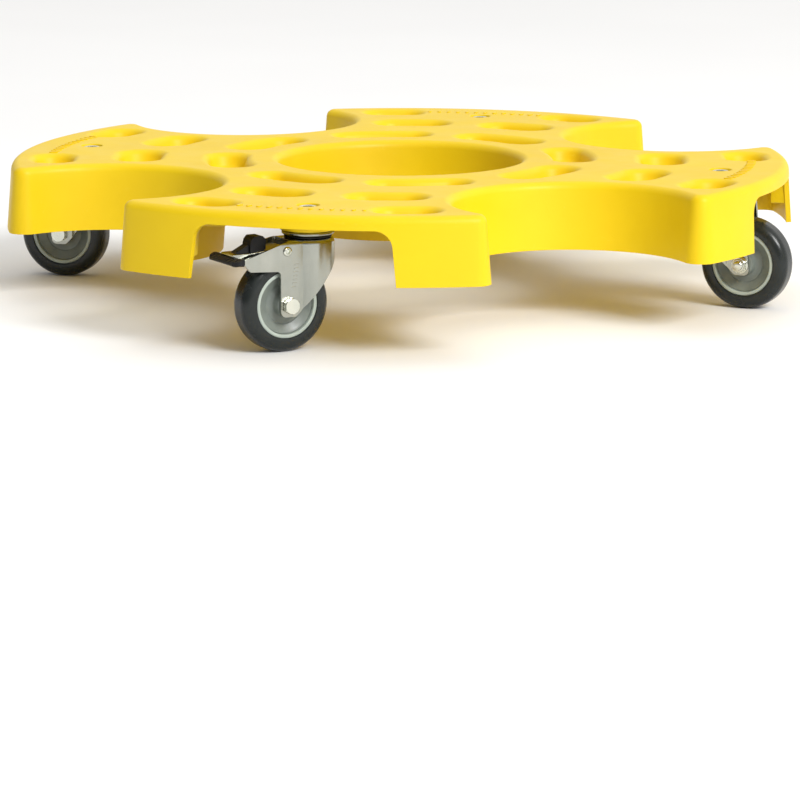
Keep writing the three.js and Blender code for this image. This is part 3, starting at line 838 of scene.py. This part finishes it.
def brake_lever():
    """A lever that turns on the pin, with a shoe that follows the tyre and a plate for the pedal."""
    half_width, eye_radius, shoe_radius, through = 11, 4.2, TYRE_RADIUS + 3.2, 30
    eye_arc = arc(Vector(BRAKE_PIVOT), eye_radius, radians(290), radians(70), 14)
    shoe_arc = arc(Vector((TRAIL, AXLE_HEIGHT)), shoe_radius, radians(48), radians(70), 8)
    plate = [
        (44, 86.8, 4), (60, 85.4, 4), (75.5, 85.2, 0.6), (75.5, 83.5, 0.6), (70, 81.3, 2), (58, 79.5, 4),
    ]
    outline = rounded(plate + [(p.x, p.y, 0) for p, _ in shoe_arc + eye_arc], 5)
    mesh = finish_mesh(prism_y(outline, -half_width, half_width), "brake_lever")
    bore = turned([(PIN_BORE, -through), (PIN_BORE, through)], 24, ring=False, along_y=BRAKE_PIVOT)
    return carve(mesh, finish_mesh(bore, "bore"), "DIFFERENCE")


def brake_pedal():
    """The moulded pedal: a grooved bar to step on, a neck, and the release block on the lever."""
    block = [
        (43.5, 87.2, 0.6), (57.5, 85.2, 0), (57.5, 92, 1), (56.5, 95.5, 1.5), (54, 98.4, 1.5),
        (46, 98.4, 1.5), (43, 95.5, 1.5),
    ]
    neck = [(50, 86.3, 0), (71.8, 83.1, 0), (73.5, 81.5, 0), (75, 83, 0.5), (57.3, 92, 1), (50, 92, 0)]
    bar = [
        (72, 78.6, 0.6), (80, 77.4, 1), (81.8, 78.6, 0.8), (81.4, 80.6, 0.8), (74.5, 83.2, 0.8),
        (72, 83, 0.6),
    ]
    bar_half, neck_half, block_half, groove_half = 25, 4.5, 7, 0.7
    plan = [
        (60, -bar_half, 0), (78, -bar_half, 4), (84, -17, 8), (84, 17, 8), (78, bar_half, 4),
        (60, bar_half, 0),
    ]
    step = finish_mesh(prism_y(rounded(bar), -bar_half, bar_half), "step")
    step = carve(step, finish_mesh(prism_z(rounded(plan), 70, 95), "plan"), "INTERSECT")
    mesh = finish_mesh(prism_y(rounded(block), -block_half, block_half), "block")
    mesh = carve(mesh, finish_mesh(prism_y(rounded(neck), -neck_half, neck_half), "neck"), "UNION")
    mesh = carve(mesh, step, "UNION")
    for y in (-20, -14, -8, 8, 14, 20):
        low, high = y - groove_half, y + groove_half
        groove = prism_z([(76, low), (90, low), (90, high), (76, high)], 80.2, 90)
        mesh = carve(mesh, finish_mesh(groove, "groove"), "DIFFERENCE")
    return mesh


def brake_pin():
    """A rivet right across the fork, with a hollow head at each end."""
    half = [
        (0.3, SEAT - 0.6), (1.5, SEAT - 0.5), (1.8, SEAT - 0.2), (1.9, SEAT + 0.9), (2.2, SEAT + 1.3),
        (2.7, SEAT + 1.35), (3.4, SEAT + 1.0), (3.9, SEAT + 0.4), (4.0, SEAT), (2.5, SEAT),
    ]
    return finish_mesh(turned(mirrored(half), 40, ring=False, along_y=BRAKE_PIVOT), "brake_pin")


# ---------------------------------------------------------------- finishes
class Finish:
    """A Principled material with a small graph of procedural detail."""

    def __init__(self, name, roughness, metallic=0.0, **sockets):
        self.material = bpy.data.materials.new(name)
        self.material.use_nodes = True
        self.nodes = self.material.node_tree.nodes
        self.links = self.material.node_tree.links
        self.shader = self.nodes["Principled BSDF"]
        self.shader.inputs["Roughness"].default_value = roughness
        self.shader.inputs["Metallic"].default_value = metallic
        for socket, value in sockets.items():
            self.shader.inputs[socket.replace("_", " ")].default_value = value
        self.coordinates = self.nodes.new("ShaderNodeTexCoord").outputs["Object"]
        self.bump_link = None

    def stretched(self, scale):
        """Coordinates for streaks: a small scale along an axis draws the noise out along it."""
        mapping = self.nodes.new("ShaderNodeMapping")
        mapping.inputs["Scale"].default_value = scale
        self.links.new(self.coordinates, mapping.inputs["Vector"])
        return mapping.outputs["Vector"]

    def noise(self, scale, detail=3.0, vector=None, roughness=0.55):
        node = self.nodes.new("ShaderNodeTexNoise")
        node.inputs["Scale"].default_value = scale
        node.inputs["Detail"].default_value = detail
        node.inputs["Roughness"].default_value = roughness
        self.links.new(vector or self.coordinates, node.inputs["Vector"])
        return node.outputs["Fac"]

    def span(self, value, low, high, start=0.3, end=0.7):
        """Stretches the values from start to end over low to high."""
        node = self.nodes.new("ShaderNodeMapRange")
        node.inputs["From Min"].default_value = start
        node.inputs["From Max"].default_value = end
        node.inputs["To Min"].default_value = low
        node.inputs["To Max"].default_value = high
        self.links.new(value, node.inputs["Value"])
        return node.outputs["Result"]

    def ramp(self, value, *stops):
        """A colour between two stops of (position, colour)."""
        node = self.nodes.new("ShaderNodeValToRGB")
        for element, (position, color) in zip(node.color_ramp.elements, stops):
            element.position = position
            element.color = (*color, 1.0)
        self.links.new(value, node.inputs["Fac"])
        return node.outputs["Color"]

    def mix(self, amount, first, second, how="MIX"):
        node = self.nodes.new("ShaderNodeMix")
        node.data_type = "RGBA"
        node.blend_type = how
        self.links.new(amount, node.inputs["Factor"])
        self.links.new(first, node.inputs["A"])
        self.links.new(second, node.inputs["B"])
        return node.outputs["Result"]

    def color(self, output):
        self.links.new(output, self.shader.inputs["Base Color"])

    def roughness(self, output):
        self.links.new(output, self.shader.inputs["Roughness"])

    def bump(self, height, strength, distance):
        """Adds a layer of relief on top of the ones before it."""
        node = self.nodes.new("ShaderNodeBump")
        node.inputs["Strength"].default_value = strength
        node.inputs["Distance"].default_value = distance
        self.links.new(height, node.inputs["Height"])
        if self.bump_link:
            self.links.new(self.bump_link, node.inputs["Normal"])
        self.bump_link = node.outputs["Normal"]
        self.links.new(self.bump_link, self.shader.inputs["Normal"])


def yellow_plastic():
    """Moulded plastic with a faint grain, soft clouds of tone and pale scuffs."""
    made = Finish("yellow_plastic", 0.47, Specular_IOR_Level=0.32)
    clouds = made.noise(9.0, 3.0)
    tone = made.ramp(clouds, (0.35, (0.79, 0.54, 0.002)), (0.65, (0.83, 0.585, 0.003)))
    scuff_field = made.noise(60.0, 6.0, made.stretched((1.0, 5.0, 3.0)), 0.7)
    pale = made.ramp(scuff_field, (0.0, (0.82, 0.60, 0.03)), (1.0, (0.85, 0.64, 0.05)))
    made.color(made.mix(made.span(scuff_field, 0.0, 0.4, 0.62, 0.74), tone, pale))
    made.roughness(made.span(made.noise(35.0, 4.0), 0.42, 0.52))
    made.bump(made.noise(420.0, 4.0), 0.12, 0.0008)
    made.bump(made.noise(14.0, 2.0), 0.10, 0.004)
    return made.material


def zinc(name, shade):
    """Zinc-plated steel with dull patches and fine rolling streaks."""
    made = Finish(name, 0.3, 1.0)
    cloudy = made.noise(28.0, 3.0)
    dull = Vector((0.84, 0.87, 0.78)) * shade
    bright = Vector((1.0, 1.0, 0.88)) * shade
    base = made.ramp(cloudy, (0.3, tuple(dull)), (0.7, tuple(bright)))
    streaks = made.noise(120.0, 4.0, made.stretched((1.0, 1.0, 0.15)), 0.6)
    worn = made.ramp(streaks, (0.3, (0.86, 0.86, 0.84)), (0.7, (1.0, 1.0, 1.0)))
    made.color(made.mix(made.span(cloudy, 0.7, 1.0, 0.0, 1.0), base, worn, "MULTIPLY"))
    made.roughness(made.span(made.noise(60.0, 4.0), 0.16, 0.28))
    made.bump(made.noise(600.0, 3.0, made.stretched((1.0, 1.0, 0.3))), 0.05, 0.0003)
    made.bump(made.noise(24.0, 2.0), 0.12, 0.0015)
    return made.material


def bearing_steel():
    """Bare steel, a little uneven in tone."""
    made = Finish("bearing_steel", 0.25, 1.0)
    made.color(made.ramp(made.noise(120.0, 4.0), (0.3, (0.42, 0.42, 0.41)), (0.7, (0.58, 0.58, 0.57))))
    made.roughness(made.span(made.noise(300.0, 4.0), 0.18, 0.34))
    made.bump(made.noise(800.0, 3.0), 0.06, 0.0003)
    return made.material


def black_plastic():
    """Matt black plastic with a moulded grain."""
    made = Finish("black_plastic", 0.5, Specular_IOR_Level=0.22)
    mottle = made.noise(70.0, 4.0)
    made.color(made.ramp(mottle, (0.3, (0.008, 0.008, 0.009)), (0.75, (0.016, 0.016, 0.018))))
    made.roughness(made.span(made.noise(160.0, 4.0), 0.38, 0.58))
    made.bump(made.noise(1100.0, 3.0), 0.25, 0.0004)
    return made.material


def slate_rubber():
    """Smooth dark rubber with a little dust."""
    made = Finish("slate_rubber", 0.25, Specular_IOR_Level=0.38)
    tone = made.ramp(made.noise(55.0, 4.0), (0.3, (0.010, 0.013, 0.012)), (0.7, (0.017, 0.021, 0.020)))
    dust = made.ramp(made.noise(300.0, 6.0), (0.0, (0.026, 0.029, 0.028)), (1.0, (0.036, 0.040, 0.038)))
    made.color(made.mix(made.span(made.noise(90.0, 6.0), 0.0, 0.4, 0.55, 0.75), tone, dust))
    made.roughness(made.span(made.noise(80.0, 5.0), 0.16, 0.30))
    made.bump(made.noise(700.0, 3.0), 0.05, 0.0004)
    return made.material


def grey_plastic(name, dark, light):
    """Grey plastic between two shades, slightly green."""
    made = Finish(name, 0.4, Specular_IOR_Level=0.5)
    tint = Vector((0.88, 1.0, 0.89))
    made.color(made.ramp(made.noise(60.0, 4.0), (0.3, tuple(tint * dark)), (0.7, tuple(tint * light))))
    made.roughness(made.span(made.noise(140.0, 4.0), 0.28, 0.42))
    made.bump(made.noise(900.0, 3.0), 0.12, 0.0004)
    return made.material


def floor_finish():
    """A plain pale floor."""
    made = Finish("studio_floor", 0.85, Specular_IOR_Level=0.1)
    made.color(made.ramp(made.noise(1.5, 2.0), (0.3, (0.90, 0.90, 0.90)), (0.7, (0.93, 0.93, 0.93))))
    return made.material


# ---------------------------------------------------------------- assembly
YELLOW = yellow_plastic()
ZINC = zinc("zinc_sheet", 0.46)
BRIGHT = zinc("zinc_fastener", 0.80)
STEEL = bearing_steel()
BLACK = black_plastic()
RUBBER = slate_rubber()
GREY = grey_plastic("grey_plastic", 0.17, 0.24)
PALE = grey_plastic("pale_plastic", 0.42, 0.52)

HERE = Matrix.Identity(4)
shell = piece("deck_shell", deck_shell(), HERE, YELLOW, "deck", "deck", sharp=180)
thicken = shell.modifiers.new("wall", "SOLIDIFY")
thicken.thickness = SHELL * MM
thicken.offset = -1.0
thicken.use_even_offset = True
thicken.use_quality_normals = True
round_edges(shell, 1.2, angle=55)

ARMS = [radians(arm) for _, arm, _, _ in CASTERS]
DECK_EXTRAS = (                  # part, shape on one arm, bevel
    ("linings", arch_lining, 0.8),
    ("bosses", boss, 0.8),
    ("marks", marks, 0.25),
)
for name, maker, bevel in DECK_EXTRAS:
    mesh = finish_mesh(merged(*[maker(arm) for arm in ARMS]), name)
    piece(f"deck_{name}", mesh, HERE, YELLOW, "deck", "deck", bevel=bevel)

PARTS = (                        # part, shape, finish, slot, body, bevel
    ("mounting_bolt", mounting_bolt(), BRIGHT, "zinc_steel", "deck", 0),
    ("lock_nut", lock_nut(), BRIGHT, "zinc_steel", "deck", 0),
    ("swivel_head", swivel_head(), ZINC, "zinc_steel", "deck", 0),
    ("kingpin", kingpin(), ZINC, "zinc_steel", "deck", 0),
    ("ball_ring", ball_ring(), STEEL, "bearing_steel", "swivel", 0),
    ("dust_seal", dust_seal(), BLACK, "black_plastic", "swivel", 0),
    ("fork_marks", fork_marks(), ZINC, "zinc_steel", "swivel", 0.15),
    ("axle_bolt", axle_bolt(), BRIGHT, "zinc_steel", "swivel", 0),
    ("axle_nut", axle_nut(), BRIGHT, "zinc_steel", "swivel", 0),
    ("tyre", tyre(), RUBBER, "tyre_rubber", "wheel", 0),
    ("wheel_core", wheel_core(), GREY, "grey_plastic", "wheel", 0),
    ("rim_ring", rim_ring(), PALE, "grey_plastic", "wheel", 0),
    ("bearing_sleeve", bearing_sleeve(), STEEL, "bearing_steel", "wheel", 0),
)
BRAKE_PARTS = (
    ("fork", fork(True), ZINC, "zinc_steel", "swivel", 1.7),
    ("brake_lever", brake_lever(), ZINC, "zinc_steel", "brake", 0.6),
    ("brake_pedal", brake_pedal(), BLACK, "black_plastic", "brake", 0.6),
    ("brake_pin", brake_pin(), BRIGHT, "zinc_steel", "swivel", 0),
)
PLAIN_PARTS = (("fork", fork(False), ZINC, "zinc_steel", "swivel", 1.7),)
SHARES_NODE = {"rim_ring": "wheel_core", "fork_marks": "fork"}

for caster, arm, trail, braked in CASTERS:
    axis = polar(CASTER_CIRCLE, radians(arm))
    place = Matrix.Translation((axis.x, axis.y, 0)) @ Matrix.Rotation(radians(trail), 4, "Z")
    for part, mesh, finish, slot, body, bevel in PARTS + (BRAKE_PARTS if braked else PLAIN_PARTS):
        rides = body if body == "deck" else f"{caster}_{body}"
        node = f"{caster}_{SHARES_NODE.get(part, part)}"
        made = piece(f"{caster}_{part}_form", mesh, place, finish, rides, node, bevel=bevel)
        if bevel:
            made.modifiers.new("normals", "WEIGHTED_NORMAL").keep_sharp = True

# ---------------------------------------------------------------- studio
# Metres from here on
FLOOR_HALF = 30
SKY_COLOR = (1.0, 0.99, 0.97, 1.0)
SKY_BRIGHT_SIDE = (0.62, 0.62, 0.48)       # direction from which the studio's walls shine most
SKY_SPREAD = (-0.9, 0.7)                   # cosines to that direction where the fade starts and ends
SKY_STRENGTH = (0.18, 0.95)
LIGHT_AIM = (0, 0, 0.1)
LIGHT_SIZE = (2.6, 2.0)
LIGHTS = (                                 # name, place, power in watts
    ("key", (4.1, -3.2, 3.7), 305),
    ("top", (-0.4, 0.8, 3.4), 10),
)
CAMERA_AZIMUTH = radians(15.235)
CAMERA_ELEVATION = radians(11.308)
CAMERA_DISTANCE = 3.861
CAMERA_AIM = Vector((0, 0, -0.1006))       # below the floor, so that the dolly is high in the picture
CAMERA_LENS = 192.9                        # millimetres, like the sensor's width
CAMERA_SENSOR = 36.0

corners = [(-1, -1), (1, -1), (1, 1), (-1, 1)]
floor_mesh = bpy.data.meshes.new("floor")
floor_mesh.from_pydata([(x * FLOOR_HALF, y * FLOOR_HALF, 0) for x, y in corners], [], [(0, 1, 2, 3)])
floor = bpy.data.objects.new("floor", floor_mesh)
floor_mesh.materials.append(floor_finish())
bpy.context.scene.collection.objects.link(floor)

scene = bpy.context.scene
scene.view_settings.view_transform = "Standard"
scene.view_settings.look = "None"

world = bpy.data.worlds.new("studio")
world.use_nodes = True
sky = world.node_tree.nodes
background = sky["Background"]
background.inputs["Color"].default_value = SKY_COLOR
toward = sky.new("ShaderNodeVectorMath")
toward.operation = "DOT_PRODUCT"
toward.inputs[1].default_value = SKY_BRIGHT_SIDE
brightness = sky.new("ShaderNodeMapRange")
brightness.interpolation_type = "SMOOTHSTEP"
brightness.inputs["From Min"].default_value = SKY_SPREAD[0]
brightness.inputs["From Max"].default_value = SKY_SPREAD[1]
brightness.inputs["To Min"].default_value = SKY_STRENGTH[0]
brightness.inputs["To Max"].default_value = SKY_STRENGTH[1]
world.node_tree.links.new(sky.new("ShaderNodeTexCoord").outputs["Generated"], toward.inputs[0])
world.node_tree.links.new(toward.outputs["Value"], brightness.inputs["Value"])
world.node_tree.links.new(brightness.outputs["Result"], background.inputs["Strength"])
scene.world = world


def softbox(name, place, power):
    light = bpy.data.lights.new(name, "AREA")
    light.shape = "RECTANGLE"
    light.size, light.size_y = LIGHT_SIZE
    light.energy = power
    made = bpy.data.objects.new(name, light)
    made.location = place
    made.rotation_euler = (Vector(LIGHT_AIM) - Vector(place)).to_track_quat("-Z", "Y").to_euler()
    scene.collection.objects.link(made)


for name, place, power in LIGHTS:
    softbox(name, place, power)

camera = bpy.data.objects.new("camera", bpy.data.cameras.new("camera"))
camera.data.lens = CAMERA_LENS
camera.data.sensor_width = CAMERA_SENSOR
level = cos(CAMERA_ELEVATION)
back = Vector((sin(CAMERA_AZIMUTH) * level, -cos(CAMERA_AZIMUTH) * level, sin(CAMERA_ELEVATION)))
camera.location = CAMERA_AIM + back * CAMERA_DISTANCE
camera.rotation_euler = (-back).to_track_quat("-Z", "Y").to_euler()
scene.collection.objects.link(camera)
scene.camera = camera
